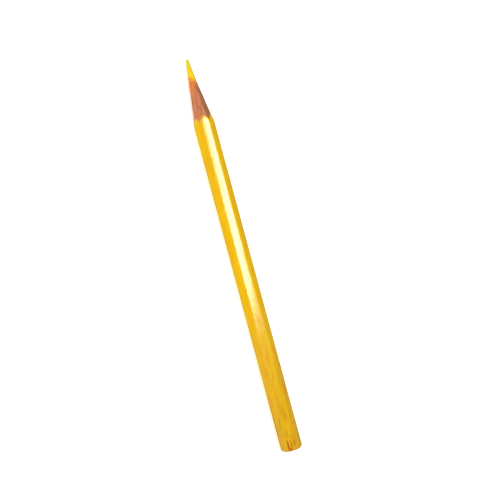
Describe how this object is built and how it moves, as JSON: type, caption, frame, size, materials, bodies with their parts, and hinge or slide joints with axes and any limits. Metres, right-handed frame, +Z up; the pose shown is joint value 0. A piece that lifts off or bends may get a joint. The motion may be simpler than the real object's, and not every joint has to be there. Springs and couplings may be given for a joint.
{
  "type": "marking pencil",
  "caption": "Hexagonal wood-cased marking pencil with a yellow core, a long sharpened point with a scalloped paint edge, and a dipped, rounded end.",
  "frame": {"origin": "on the flat the pencil lies on, halfway along its length and halfway across it", "axes": "+X along the pencil towards the sharpened point, +Z up out of the upper flat, +Y to the left seen along +X"},
  "size_m": [0.1474, 0.0078, 0.007],
  "materials": {
    "core": "waxy yellow pigment, slightly polished where it was cut",
    "wood": "freshly cut reddish-brown cedar-like wood, fine grain",
    "glue": "thin dried wood glue",
    "undercoat": "thin orange-yellow filler coat",
    "lacquer": "glossy yellow lacquer with faint lengthwise streaks, worn and stained near the sealed end"
  },
  "bodies": {
    "root": {"marking_core": "core", "core_glue": "glue", "upper_slat": "wood", "lower_slat": "wood", "seam_glue_left": "glue", "seam_glue_right": "glue", "undercoat": "undercoat", "lacquer": "lacquer", "end_dip": "lacquer"}
  },
  "joints": []
}
